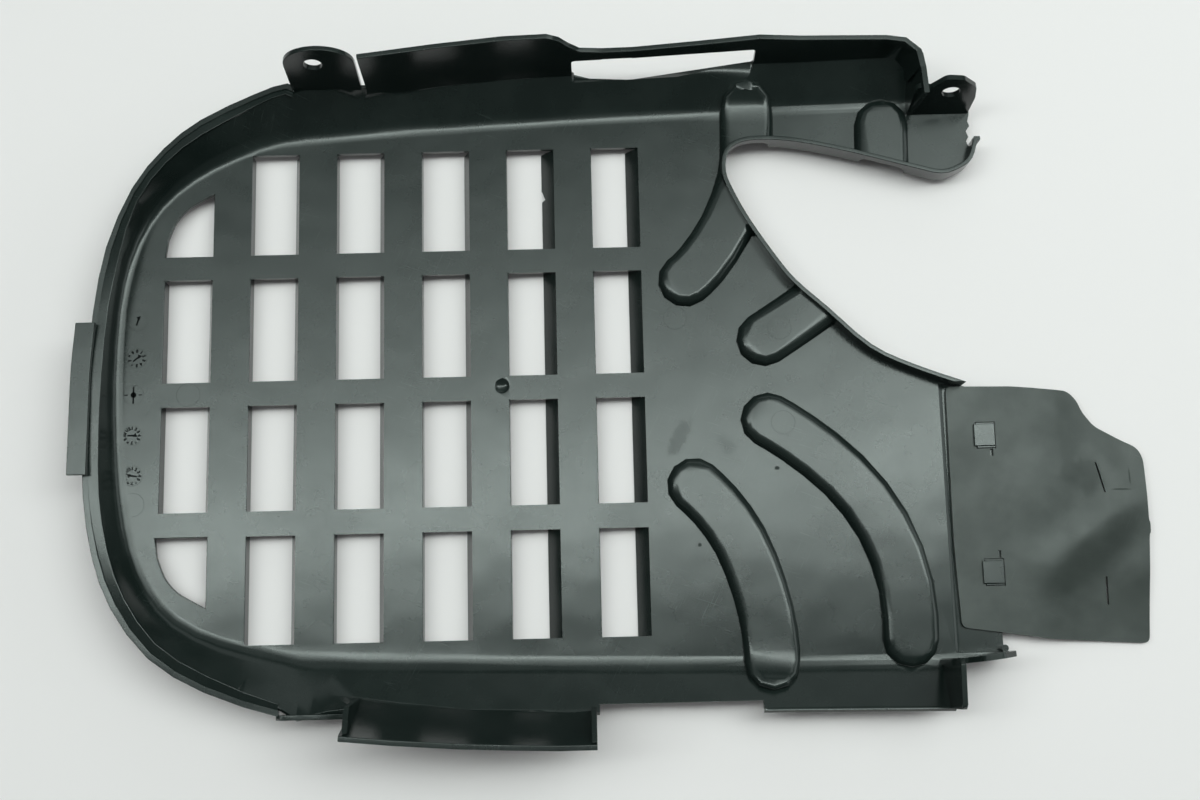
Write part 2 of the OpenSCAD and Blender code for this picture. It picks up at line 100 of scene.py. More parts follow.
@dataclass
class NodeBench:
    """Places and links shader nodes in one node tree."""

    tree: bpy.types.NodeTree

    def add(self, kind: str, inputs: dict | None = None, **settings: object) -> bpy.types.Node:
        """Add a node.

        Args:
            kind: The node's type name.
            inputs: Values or sockets for its inputs, by name or by number.
            settings: Attributes of the node.

        Returns:
            The new node.
        """
        node = self.tree.nodes.new(kind)
        for name, value in settings.items():
            setattr(node, name, value)
        for name, value in (inputs or {}).items():
            self.feed(node.inputs[name], value)
        return node

    def feed(self, socket: bpy.types.NodeSocket, value: object) -> None:
        """Link a socket to another one, or set its value."""
        if isinstance(value, bpy.types.NodeSocket):
            self.tree.links.new(value, socket)
        else:
            socket.default_value = value

    def math(
        self, operation: str, a: object, b: object = 0.0, clamp: bool = False
    ) -> bpy.types.NodeSocket:
        """Combine two numbers.

        Args:
            operation: The Math node's operation.
            a: First number or socket.
            b: Second number or socket.
            clamp: Whether the result is kept from 0 to 1.

        Returns:
            The result's socket.
        """
        node = self.add("ShaderNodeMath", {0: a, 1: b}, operation=operation, use_clamp=clamp)
        return node.outputs[0]

    def vector(self, operation: str, a: object, b: object = (0.0, 0.0, 0.0)) -> bpy.types.Node:
        """Add a Vector Math node with two inputs and return it."""
        return self.add("ShaderNodeVectorMath", {0: a, 1: b}, operation=operation)

    def turned(self, vector: object, angle: object) -> bpy.types.NodeSocket:
        """Turn a vector about Z by an angle in radians and return its socket."""
        inputs = {"Vector": vector, "Angle": angle}
        return self.add("ShaderNodeVectorRotate", inputs, rotation_type="Z_AXIS").outputs[0]

    def ramp(
        self, value: object, low: float, high: float, to_low: float = 0.0, to_high: float = 1.0
    ) -> bpy.types.NodeSocket:
        """Map a span of numbers smoothly to another one.

        Args:
            value: The number or socket.
            low: Start of the span.
            high: End of the span.
            to_low: Result at the start.
            to_high: Result at the end.

        Returns:
            The result's socket.
        """
        spans = {"From Min": low, "From Max": high, "To Min": to_low, "To Max": to_high}
        node = self.add(
            "ShaderNodeMapRange", {"Value": value, **spans}, interpolation_type="SMOOTHSTEP"
        )
        return node.outputs["Result"]

    def noise(
        self, vector: object, scale: object, detail: float = 3.0, roughness: float = 0.5
    ) -> bpy.types.NodeSocket:
        """Add a Noise texture.

        Args:
            vector: Where it is read.
            scale: Its scale.
            detail: Its number of octaves.
            roughness: How strong the finer octaves are.

        Returns:
            The socket of its grey value.
        """
        inputs = {"Vector": vector, "Scale": scale, "Detail": detail, "Roughness": roughness}
        return self.add("ShaderNodeTexNoise", inputs).outputs["Fac"]

    def blend(self, share: object, a: object, b: object) -> bpy.types.NodeSocket:
        """Mix two colours.

        Args:
            share: How much of the second colour there is.
            a: First colour or socket.
            b: Second colour or socket.

        Returns:
            The mixed colour's socket.
        """
        node = self.add("ShaderNodeMix", {"Factor": share}, data_type="RGBA")
        self.feed(node.inputs[6], a)
        self.feed(node.inputs[7], b)
        return node.outputs[2]

    def mix_shaders(
        self, share: bpy.types.NodeSocket, a: bpy.types.Node, b: bpy.types.Node
    ) -> bpy.types.NodeSocket:
        """Mix two shader nodes, with the second one's share, and return the socket."""
        inputs = {0: share, 1: a.outputs[0], 2: b.outputs[0]}
        return self.add("ShaderNodeMixShader", inputs).outputs[0]

    def group(self, tree: bpy.types.NodeTree, inputs: dict) -> bpy.types.NodeSocket:
        """Place a shader group and return its first output."""
        node = self.add("ShaderNodeGroup", node_tree=tree)
        for name, value in inputs.items():
            self.feed(node.inputs[name], value)
        return node.outputs[0]


@dataclass
class SharedGroups:
    """Shader groups that both finishes use, each built once."""

    grain: bpy.types.NodeTree = field(init=False)
    mottle: bpy.types.NodeTree = field(init=False)
    scratches: bpy.types.NodeTree = field(init=False)
    smudge: bpy.types.NodeTree = field(init=False)

    def __post_init__(self) -> None:
        """Build the groups."""
        self.grain = self._grain()
        self.mottle = self._mottle()
        self.scratches = self._scratches()
        self.smudge = self._smudge()

    @staticmethod
    def _open(
        name: str, sockets: dict[str, object], output: str
    ) -> tuple[NodeBench, dict, bpy.types.Node]:
        """Start a group with the given inputs and one output.

        Args:
            name: The group's name.
            sockets: Input names with their starting values; a tuple makes a vector.
            output: Name of the output.

        Returns:
            The bench for its tree, its inputs by name, and its output node.
        """
        tree = bpy.data.node_groups.new(name, "ShaderNodeTree")
        for label, value in sockets.items():
            kind = "NodeSocketVector" if isinstance(value, tuple) else "NodeSocketFloat"
            socket = tree.interface.new_socket(label, in_out="INPUT", socket_type=kind)
            socket.default_value = value
        tree.interface.new_socket(output, in_out="OUTPUT", socket_type="NodeSocketFloat")
        bench = NodeBench(tree)
        start = bench.add("NodeGroupInput")
        end = bench.add("NodeGroupOutput")
        return bench, {label: start.outputs[label] for label in sockets}, end

    def _grain(self) -> bpy.types.NodeTree:
        """Build the height of a moulded skin: fine grain over a broad unevenness."""
        bench, given, end = self._open(
            "moulded_grain",
            {"Vector": (0.0, 0.0, 0.0), "Fine": 2600.0, "Broad": 45.0, "Broad Share": 0.9},
            "Height",
        )
        fine = bench.noise(given["Vector"], given["Fine"], 2.0)
        broad = bench.noise(given["Vector"], given["Broad"], 1.0)
        rest = bench.math("SUBTRACT", 1.0, given["Broad Share"])
        waves = bench.math("MULTIPLY", broad, given["Broad Share"])
        height = bench.math("ADD", waves, bench.math("MULTIPLY", fine, rest))
        bench.feed(end.inputs["Height"], height)
        return bench.tree

    def _mottle(self) -> bpy.types.NodeTree:
        """Build a cloudy value between two limits, with small patches inside wide ones."""
        bench, given, end = self._open(
            "mottle",
            {"Vector": (0.0, 0.0, 0.0), "Scale": 18.0, "Low": 0.0, "High": 1.0},
            "Value",
        )
        wide = bench.noise(given["Vector"], given["Scale"], 5.0, 0.62)
        span = bench.ramp(wide, 0.32, 0.68)
        reach = bench.math("SUBTRACT", given["High"], given["Low"])
        value = bench.math("ADD", bench.math("MULTIPLY", span, reach), given["Low"])
        bench.feed(end.inputs["Value"], value)
        return bench.tree

    def _scratches(self) -> bpy.types.NodeTree:
        """Build a mask of fine hair scratches that run one way, in patches."""
        bench, given, end = self._open(
            "hair_scratches",
            {
                "Vector": (0.0, 0.0, 0.0),
                "Turn": 0.3,
                "Scale": 60.0,
                "Stretch": 26.0,
                "Amount": 0.5,
            },
            "Mask",
        )
        turned = bench.turned(given["Vector"], given["Turn"])
        shape = bench.add("ShaderNodeCombineXYZ", {0: 1.0, 1: given["Stretch"], 2: 1.0}).outputs[0]
        drawn = bench.vector("MULTIPLY", turned, shape).outputs[0]
        line = bench.noise(drawn, given["Scale"], 2.0, 0.6)
        thin = bench.ramp(line, 0.655, 0.7)
        patch = bench.ramp(bench.noise(given["Vector"], 26.0, 3.0), 0.5, 0.66)
        patchy = bench.math("MULTIPLY", thin, patch)
        bench.feed(end.inputs["Mask"], bench.math("MULTIPLY", patchy, given["Amount"]))
        return bench.tree

    def _smudge(self) -> bpy.types.NodeTree:
        """Build a soft elliptical mask round a centre, ragged at its edge."""
        bench, given, end = self._open(
            "smudge",
            {
                "Vector": (0.0, 0.0, 0.0),
                "Centre": (0.0, 0.0, 0.0),
                "Size": (1.0, 1.0, 1.0),
                "Turn": 0.0,
                "Ragged": 0.5,
            },
            "Mask",
        )
        away = bench.vector("SUBTRACT", given["Vector"], given["Centre"]).outputs[0]
        turned = bench.turned(away, given["Turn"])
        sized = bench.vector("DIVIDE", turned, given["Size"]).outputs[0]
        reach = bench.vector("LENGTH", sized).outputs["Value"]
        rough = bench.math("SUBTRACT", bench.noise(given["Vector"], 420.0, 3.0), 0.5)
        ragged = bench.math("ADD", reach, bench.math("MULTIPLY", rough, given["Ragged"]))
        bench.feed(end.inputs["Mask"], bench.ramp(ragged, 0.55, 1.0, 1.0, 0.0))
        return bench.tree


@dataclass(frozen=True)
class Smear:
    """One rubbed or soiled place on a piece."""

    centre: tuple[float, float]
    size: tuple[float, float]
    turn: float
    strength: float
    ragged: float = 0.6


@dataclass(frozen=True)
class Finish:
    """Surface of one plastic or rubber, as numbers of its shader."""

    name: str
    deep: tuple[float, float, float]
    dusty: tuple[float, float, float]
    dust: float
    smooth: float
    rough: float
    patch_scale: float
    grain: float
    unevenness: float
    bump: float
    scratch: float
    specular: float
    smears: tuple[Smear, ...] = ()

    def material(self, groups: SharedGroups) -> bpy.types.Material:
        """Build the material.

        Args:
            groups: The shared shader groups.

        Returns:
            The finished material.
        """
        made = bpy.data.materials.new(self.name)
        made.use_nodes = True
        made.node_tree.nodes.clear()
        bench = NodeBench(made.node_tree)
        where = bench.add("ShaderNodeTexCoord").outputs["Object"]
        inputs = {"Metallic": 0.0, "Specular IOR Level": self.specular}
        shader = bench.add("ShaderNodeBsdfPrincipled", inputs)
        bench.add("ShaderNodeOutputMaterial", {"Surface": shader.outputs["BSDF"]})

        scratched = self._scratched(bench, groups, where)
        dust = bench.group(
            groups.mottle, {"Vector": where, "Scale": 34.0, "Low": 0.0, "High": self.dust}
        )
        pale = bench.math("ADD", dust, scratched, clamp=True)
        colour = bench.blend(pale, (*self.deep, 1.0), (*self.dusty, 1.0))
        bench.feed(shader.inputs["Base Color"], colour)
        bench.feed(shader.inputs["Roughness"], self._roughness(bench, groups, where, scratched))

        relief = {"Fine": self.grain, "Broad": self.unevenness, "Broad Share": 0.93}
        height = bench.group(groups.grain, {"Vector": where, **relief})
        bump_inputs = {"Height": height, "Strength": 1.0, "Distance": self.bump}
        bump = bench.add("ShaderNodeBump", bump_inputs)
        bench.feed(shader.inputs["Normal"], bump.outputs["Normal"])
        return made

    def _scratched(
        self, bench: NodeBench, groups: SharedGroups, where: bpy.types.NodeSocket
    ) -> bpy.types.NodeSocket:
        """Build the mask of hair scratches, which run two ways."""
        amount = {"Vector": where, "Amount": self.scratch}
        lines = bench.group(groups.scratches, {**amount, "Turn": 0.35})
        crossing = bench.group(groups.scratches, {**amount, "Turn": -1.1, "Scale": 75.0})
        return bench.math("MAXIMUM", lines, crossing)

    def _roughness(
        self,
        bench: NodeBench,
        groups: SharedGroups,
        where: bpy.types.NodeSocket,
        scratched: bpy.types.NodeSocket,
    ) -> bpy.types.NodeSocket:
        """Build the roughness, raised by scratches and smears.

        Args:
            bench: The bench of the material's tree.
            groups: The shared shader groups.
            where: The place on the piece.
            scratched: The mask of scratches.

        Returns:
            The roughness socket.
        """
        limits = {"Scale": self.patch_scale, "Low": self.smooth, "High": self.rough}
        rough = bench.group(groups.mottle, {"Vector": where, **limits})
        rough = bench.math("ADD", rough, bench.math("MULTIPLY", scratched, 0.25))
        for smear in self.smears:
            mask = bench.group(
                groups.smudge,
                {
                    "Vector": where,
                    "Centre": tuple(place(*smear.centre)),
                    "Size": (smear.size[0] * MM, smear.size[1] * MM, 1.0),
                    "Turn": math.radians(smear.turn),
                    "Ragged": smear.ragged,
                },
            )
            soiled = bench.math("MULTIPLY", mask, smear.strength)
            rough = bench.math("ADD", rough, soiled, clamp=True)
        return rough


BLACK_MOULDING = Finish(
    name="satin_black_moulding",
    deep=(0.0088, 0.0138, 0.0125),
    dusty=(0.068, 0.083, 0.078),
    dust=0.08,
    smooth=0.15,
    rough=0.21,
    patch_scale=14.0,
    grain=2400.0,
    unevenness=38.0,
    bump=0.00028,
    scratch=0.22,
    specular=0.5,
    smears=(
        Smear((39.0, -19.5), (4.8, 12.5), 28.0, 0.09, 1.3),
        Smear((62.5, -24.5), (6.5, 4.5), 70.0, 0.05, 1.6),
        Smear((87.0, -36.3), (1.5, 1.1), 0.0, 0.5, 0.2),
        Smear((47.4, -73.5), (1.1, 1.1), 0.0, 0.5, 0.2),
        Smear((135.0, -110.0), (1.2, 1.0), 0.0, 0.45, 0.2),
    ),
)

# Near-black, low-gloss finish of the dial figures and pointers. It is painted shade for the relief
# of figures made of the same black plastic.
SHADE_PAINTED_MARKS = Finish(
    name="mould_mark_painted_shade",
    deep=(0.006, 0.007, 0.0072),
    dusty=(0.02, 0.022, 0.022),
    dust=0.1,
    smooth=0.75,
    rough=0.9,
    patch_scale=60.0,
    grain=2600.0,
    unevenness=60.0,
    bump=0.00008,
    scratch=0.0,
    specular=0.12,
)

GREY_RUBBER = Finish(
    name="dark_grey_rubber",
    deep=(0.0150, 0.0205, 0.0175),
    dusty=(0.085, 0.092, 0.086),
    dust=0.22,
    smooth=0.36,
    rough=0.46,
    patch_scale=30.0,
    grain=1900.0,
    unevenness=70.0,
    bump=0.00030,
    scratch=0.2,
    specular=0.5,
    smears=(
        Smear((262.6, -44.0), (0.5, 5.0), 0.0, 0.35, 0.2),
        Smear((257.5, -50.6), (6.0, 0.5), 0.0, 0.35, 0.2),
        Smear((252.0, -73.0), (26.0, 7.0), -38.0, 0.10, 0.9),
        Smear((241.0, -44.0), (9.0, 12.0), 0.0, 0.10, 0.9),
    ),
)


def object_from(
    shape: bmesh.types.BMesh, name: str, finish: bpy.types.Material
) -> bpy.types.Object:
    """Turn a bmesh into an object of the scene.

    Args:
        shape: The bmesh, which is freed.
        name: The new object's name.
        finish: Its material.

    Returns:
        The new object, which rides on the root body.
    """
    mesh = bpy.data.meshes.new(name)
    shape.to_mesh(mesh)
    shape.free()
    mesh.materials.append(finish)
    made = bpy.data.objects.new(name, mesh)
    bpy.context.scene.collection.objects.link(made)
    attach(made, ROOT)
    return made


def apply_modifiers(piece: bpy.types.Object) -> None:
    """Make a piece's modifiers part of its mesh."""
    graph = bpy.context.evaluated_depsgraph_get()
    baked = bpy.data.meshes.new_from_object(piece.evaluated_get(graph), depsgraph=graph)
    old = piece.data
    piece.modifiers.clear()
    piece.data = baked
    baked.name = piece.name
    bpy.data.meshes.remove(old)


def settle_normals(mesh: bpy.types.Mesh, crease: float) -> None:
    """Give a mesh corner normals that are steady on large faces and round on small ones.

    Args:
        mesh: The mesh that takes them.
        crease: The angle in radians beyond which two faces meet in a crease.
    """
    shape = bmesh.new()
    shape.from_mesh(mesh)
    limit = math.cos(crease)
    weights = {face: face.calc_area() ** 2 for face in shape.faces}
    normals = [Vector((0.0, 0.0, 1.0))] * len(mesh.loops)
    for face in shape.faces:
        for loop in face.loops:
            total = Vector()
            for other in loop.vert.link_faces:
                if other.normal.dot(face.normal) > limit:
                    total += other.normal * weights[other]
            normals[loop.index] = total.normalized() if total.length > 0 else face.normal.copy()
    shape.free()
    mesh.normals_split_custom_set(normals)


@dataclass(frozen=True)
class Zone:
    """A box in the drawing's own axes, which picks vertices of the moulding."""

    low: tuple[float, float, float]
    high: tuple[float, float, float]

    def pick(self, shape: bmesh.types.BMesh) -> list[bmesh.types.BMVert]:
        """Collect the vertices of a bmesh that lie inside."""
        low, high = place(*self.low), place(*self.high)
        return [
            vert for vert in shape.verts if all(low[k] < vert.co[k] < high[k] for k in range(3))
        ]


@dataclass
class Moulding:
    """The one-piece cover: a cleaned copy of its solid with softened edges."""

    finish: bpy.types.Material
    weld: float = 0.06 * MM
    sliver: float = 0.02 * MM
    flat_within: float = math.radians(0.4)
    edge_radius: float = 0.4 * MM
    bevel_from: float = math.radians(58.0)
    shortest: float = 0.9 * MM
    crease: float = math.radians(50.0)
    step: Zone = Zone((164.9, -129.5, -2.3), (168.6, 4.5, 0.1))
    step_shift: float = 4.2 * MM
    flange_top: float = 18.0
    flange_rear: float = -118.0
    flange_level: float = 0.25 * MM
    flange_outer: float = 0.7 * MM
    flange_droop: float = 1.5 * MM
    droop_start: float = 5 * MM
    droop_run: float = 70 * MM
    window_lip: Zone = Zone((-9.6, 168.6, 9.4), (79.0, 173.5, 10.3))
    window_slope: tuple[float, float, float] = (0.0, -4.2 * MM, -2.8 * MM)
    bead_end: Zone = Zone((72.6, 156.0, 10.1), (79.6, 162.5, 10.3))
    bead_end_lift: float = 0.6 * MM

    def build(self, node: bpy.types.Object) -> bpy.types.Object:
        """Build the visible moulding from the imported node.

        Args:
            node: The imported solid, which stays as it is.

        Returns:
            The dressed moulding.
        """
        shape = bmesh.new()
        shape.from_mesh(node.data)
        bmesh.ops.remove_doubles(shape, verts=shape.verts, dist=self.weld)
        bmesh.ops.dissolve_degenerate(shape, edges=shape.edges, dist=self.sliver)
        bmesh.ops.dissolve_limit(
            shape,
            angle_limit=self.flat_within,
            verts=shape.verts,
            edges=shape.edges,
            use_dissolve_boundaries=False,
        )
        bmesh.ops.triangulate(
            shape, faces=shape.faces, quad_method="BEAUTY", ngon_method="BEAUTY"
        )
        self._choose_edges(shape)
        self._shift_step(shape)
        self._droop_flange(shape)
        self._open_window(shape)
        for face in shape.faces:
            face.smooth = True
        made = object_from(shape, "under_cover_moulding", self.finish)
        self._soften(made)
        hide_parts(node.name)
        return made

    def _droop_flange(self, shape: bmesh.types.BMesh) -> None:
        """Let the front flange's outer edge hang a little towards both sides."""
        edge = place(self.flange_rear, 0, self.flange_top)
        rim = [
            vert
            for vert in shape.verts
            if vert.co.x < edge.x and abs(vert.co.z - edge.z) < self.flange_level
        ]
        hull = [rim[k].co.xy for k in geometry.convex_hull_2d([vert.co.xy for vert in rim])]
        for vert in rim:
            here = vert.co.xy
            near = min(
                (geometry.intersect_point_line(here, hull[k - 1], hull[k])[0] - here).length
                for k in range(len(hull))
            )
            side = min(1.0, max(0.0, (abs(vert.co.y) - self.droop_start) / self.droop_run))
            if near < self.flange_outer:
                vert.co.z -= self.flange_droop * side

    def _open_window(self, shape: bmesh.types.BMesh) -> None:
        """Slope the long window's lower edge outwards and lift the bead's end beside it."""
        lip, bead_end = self.window_lip.pick(shape), self.bead_end.pick(shape)
        for vert in lip:
            vert.co += Vector(self.window_slope)
        for vert in set(bead_end) - set(lip):
            vert.co.z += self.bead_end_lift

    def _shift_step(self, shape: bmesh.types.BMesh) -> None:
        """Move the upper side of the rear step close to the flap's edge."""
        for vert in self.step.pick(shape):
            vert.co.x += self.step_shift

    def _choose_edges(self, shape: bmesh.types.BMesh) -> None:
        """Give the convex edges with room beside them a bevel weight."""
        weights = shape.edges.layers.float.new("bevel_weight_edge")
        crowded = {
            vert
            for vert in shape.verts
            if any(edge.calc_length() < self.shortest for edge in vert.link_edges)
        }
        for edge in shape.edges:
            sharp = edge.calc_face_angle(0.0) > self.bevel_from
            roomy = not (set(edge.verts) & crowded)
            if edge.is_manifold and edge.is_convex and sharp and roomy:
                edge[weights] = 1.0

    def _soften(self, piece: bpy.types.Object) -> None:
        """Round the piece's sharp edges and settle its normals."""
        bevel = piece.modifiers.new("edges", "BEVEL")
        bevel.affect, bevel.offset_type = "EDGES", "OFFSET"
        bevel.width, bevel.segments, bevel.profile = self.edge_radius, 2, 0.5
        bevel.limit_method, bevel.material = "WEIGHT", -1
        bevel.use_clamp_overlap, bevel.loop_slide = False, False
        apply_modifiers(piece)
        settle_normals(piece.data, self.crease)


@dataclass(frozen=True)
class Swell:
    """One soft rise or dip of the flap."""

    x: float
    y: float
    along: float
    across: float
    turn: float
    rise: float

    def height(self, x: float, y: float) -> float:
        """Give its height at a place, in millimetres."""
        turn = math.radians(self.turn)
        dx, dy = x - self.x, y - self.y
        along = (dx * math.cos(turn) + dy * math.sin(turn)) / self.along
        across = (dy * math.cos(turn) - dx * math.sin(turn)) / self.across
        return self.rise * math.exp(-along * along - across * across)


@dataclass
class Flap:
    """The flexible flap: one rippled sheet that lies on the rear step and droops behind it."""

    finish: bpy.types.Material
    thickness: float = 1.8
    pitch: float = 2.0
    grid_spans: tuple[tuple[int, float, float], ...] = ((0, 172.0, 271.0), (1, -126.0, 2.0))
    weld: float = 0.05
    ledge_end: float = 199.0
    ledge_drop: float = 2.2
    seat_gap: float = 0.02
    droop_from: float = 3.0
    droop_reach: float = 30.0
    fade: float = 26.0
    ripple: float = 1.6
    ripple_share: float = 0.9
    ripple_turn: tuple[float, float] = (1.4, 2.4)
    ripple_start: tuple[float, float] = (200.0, -60.0)
    corner: float = 3.2
    edge_radius: float = 0.3 * MM
    bevel_from: float = math.radians(60)
    crease: float = math.radians(50)
    outline: tuple[tuple[float, float], ...] = (
        (173.2, 2.8), (205, 2.2), (234.8, -0.2), (239.4, -5), (241.6, -11), (247, -18.4),
        (259, -25.2), (268, -29.6), (270.6, -35), (270.6, -66), (271.2, -67), (271.2, -72),
        (270.4, -73), (266.8, -126.2), (217, -123), (193, -119.4), (173.8, -116.6),
        (172.4, -76),
    )
    openings: tuple[tuple[float, float, float, float, float], ...] = (
        (186.7, -28.9, 9.8, 13.4, 0.0),
        (186.7, -96.9, 9.8, 13.4, 0.0),
        (193.4, -32.6, 1.5, 3.4, 0.0),
        (193.8, -83.2, 1.5, 3.6, 0.0),
        (245.4, -37.0, 15.5, 0.8, -77.0),
        (247.2, -107.0, 0.9, 13.6, 0.0),
    )
    swells: tuple[Swell, ...] = (
        Swell(243, -71, 30, 11, 38, 2.7),
        Swell(250, -41, 16, 11, 100, 1.8),
        Swell(238, -44, 12, 6, 70, -0.7),
        Swell(262, -92, 12, 9, 60, 0.9),
        Swell(218, -88, 12, 10, 90, 0.8),
    )

    def build(self, node: bpy.types.Object) -> bpy.types.Object:
        """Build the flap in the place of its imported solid.

        Args:
            node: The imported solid, which stays as it is.

        Returns:
            The dressed flap.
        """
        shape = bmesh.new()
        edges = self._loop(shape, self._rounded(self.outline, self.corner))
        for x, y, width, length, turn in self.openings:
            edges += self._loop(shape, self._cut(x, y, width, length, turn))
        bmesh.ops.triangle_fill(shape, use_beauty=True, use_dissolve=False, edges=edges)
        self._grid(shape)
        area = sum(face.calc_area() for face in shape.faces)
        for face in shape.faces:
            if face.normal.z < 0:
                face.normal_flip()
            face.smooth = True
        for vert in shape.verts:
            x, y = vert.co.x, vert.co.y
            vert.co = place(x, y, self.height(x, y) + self.thickness)
        made = object_from(shape, "rubber_flap_sheet", self.finish)
        self._thicken(made)
        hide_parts(node.name)
        return made

    def height(self, x: float, y: float) -> float:
        """Give the height of the flap's underside above the floor, in millimetres."""
        past = max(0.0, x - self.ledge_end - self.droop_from)
        sunk = 1 - math.exp(-past * past / self.droop_reach**2)
        droop = -(FLOOR_TOP - self.ledge_drop) * sunk
        (by_x, by_y), (start_x, start_y) = self.ripple_turn, self.ripple_start
        phase = math.radians(by_y * (y - start_y) + by_x * (x - start_x))
        wave = self.ripple * (1 + self.ripple_share * math.sin(phase))
        lift = wave + sum(swell.height(x, y) for swell in self.swells)
        raised = min(1.0, past / self.fade) * max(0.0, lift)
        return -self.ledge_drop + self.seat_gap + droop + raised

    @staticmethod
    def _loop(
        shape: bmesh.types.BMesh, points: Sequence[tuple[float, float]]
    ) -> list[bmesh.types.BMEdge]:
        """Add a closed line of points at height nought and return its edges."""
        verts = [shape.verts.new((x, y, 0.0)) for x, y in points]
        return [shape.edges.new((verts[k - 1], verts[k])) for k in range(len(verts))]

    @staticmethod
    def _cut(
        x: float, y: float, width: float, length: float, turn: float
    ) -> list[tuple[float, float]]:
        """Give the four corners of a cut that is turned about its first corner."""
        cosine, sine = math.cos(math.radians(turn)), math.sin(math.radians(turn))
        square = ((0, 0), (width, 0), (width, length), (0, length))
        return [(x + u * cosine - v * sine, y + u * sine + v * cosine) for u, v in square]

    @staticmethod
    def _rounded(points: Sequence[tuple[float, float]], reach: float) -> list[tuple[float, float]]:
        """Round a closed line's corners with short curves.

        Args:
            points: The line's corners.
            reach: How far from a corner its curve begins, in millimetres.

        Returns:
            The points of the rounded line.
        """
        rounded = []
        for k, point in enumerate(points):
            here, after = Vector(point), Vector(points[(k + 1) % len(points)])
            into, out = Vector(points[k - 1]) - here, after - here
            start = here + into.normalized() * min(reach, into.length * 0.45)
            end = here + out.normalized() * min(reach, out.length * 0.45)
            for step in range(CORNER_STEPS + 1):
                t = step / CORNER_STEPS
                rounded.append(tuple(start * (1 - t) ** 2 + here * 2 * t * (1 - t) + end * t * t))
        return rounded

    def _grid(self, shape: bmesh.types.BMesh) -> None:
        """Cut the flat sheet into strips along both directions."""
        for axis, low, high in self.grid_spans:
            normal = Vector((1.0, 0.0, 0.0)) if axis == 0 else Vector((0.0, 1.0, 0.0))
            for k in range(1, int((high - low) / self.pitch)):
                bmesh.ops.bisect_plane(
                    shape,
                    geom=[*shape.verts, *shape.edges, *shape.faces],
                    dist=1e-4,
                    plane_co=normal * (low + k * self.pitch),
                    plane_no=normal,
                )
        bmesh.ops.remove_doubles(shape, verts=shape.verts, dist=self.weld)
        bmesh.ops.join_triangles(
            shape,
            faces=shape.faces,
            angle_face_threshold=0.1,
            angle_shape_threshold=math.radians(60),
        )

    def _thicken(self, piece: bpy.types.Object) -> None:
        """Give the sheet its thickness and soft edges."""
        solid = piece.modifiers.new("thickness", "SOLIDIFY")
        solid.thickness, solid.offset, solid.use_even_offset = self.thickness * MM, -1.0, True
        bevel = piece.modifiers.new("edges", "BEVEL")
        bevel.affect, bevel.material = "EDGES", -1
        bevel.width, bevel.segments, bevel.profile = self.edge_radius, 2, 0.5
        bevel.limit_method, bevel.angle_limit = "ANGLE", self.bevel_from
        bevel.use_clamp_overlap = True
        apply_modifiers(piece)
        settle_normals(piece.data, self.crease)


@dataclass(frozen=True)
class Dial:
    """One round mould dial in the floor."""

    x: float
    y: float
    kind: DialKind
    pointer: float


